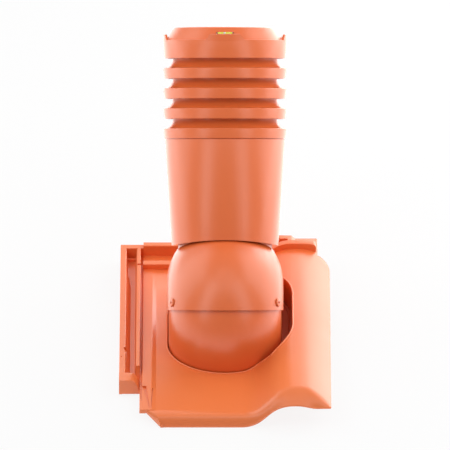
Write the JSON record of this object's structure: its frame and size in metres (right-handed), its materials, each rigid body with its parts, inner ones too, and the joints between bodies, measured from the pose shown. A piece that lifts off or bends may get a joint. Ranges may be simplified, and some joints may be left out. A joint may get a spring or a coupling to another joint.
{
  "type": "roof tile vent",
  "caption": "Plastic roof tile with a swivelling duct vent: drum-shaped seat and hood, tapered pipe, stacked louvre rings and a cap with grip tabs and a spirit level.",
  "frame": {"origin": "centre of the swivel, where its tilt axis crosses the duct's axis", "axes": "+X across the tile towards the roll, +Y up the roof's slope, +Z out of the roof"},
  "size_m": [0.3048, 0.5307, 0.4377],
  "materials": {
    "tile_plastic": "moulded satin, terracotta",
    "vent_plastic": "moulded satin, terracotta",
    "duct_plastic": "extruded grey pipe",
    "seal_rubber": "black sealing rubber",
    "foam": "moulded bead foam",
    "screw_steel": "stainless, plain",
    "vial": "clear acrylic",
    "fluid": "yellow level fluid"
  },
  "bodies": {
    "base": {"tile_plate": "tile_plastic", "swivel_seat": "tile_plastic", "seat_gasket": "seal_rubber", "seat_screws": "screw_steel"},
    "head": {"swivel_hood": "vent_plastic", "hood_washer_left": "vent_plastic", "hood_screw_left": "screw_steel", "hood_washer_right": "vent_plastic", "hood_screw_right": "screw_steel", "outer_pipe": "vent_plastic", "inner_pipe": "duct_plastic", "duct_seal": "seal_rubber", "insulation_sleeve": "foam", "louvre_ring_1": "vent_plastic", "louvre_ring_2": "vent_plastic", "louvre_ring_3": "vent_plastic", "louvre_ring_4": "vent_plastic", "cap": "vent_plastic", "level_vial": "vial", "level_fluid": "fluid"}
  },
  "joints": [
    {"name": "hood_tilt", "type": "hinge", "parent": "base", "child": "head", "pos_m": [0, 0, 0], "axis": [1, 0, 0], "range_deg": [-10, 15]}
  ]
}
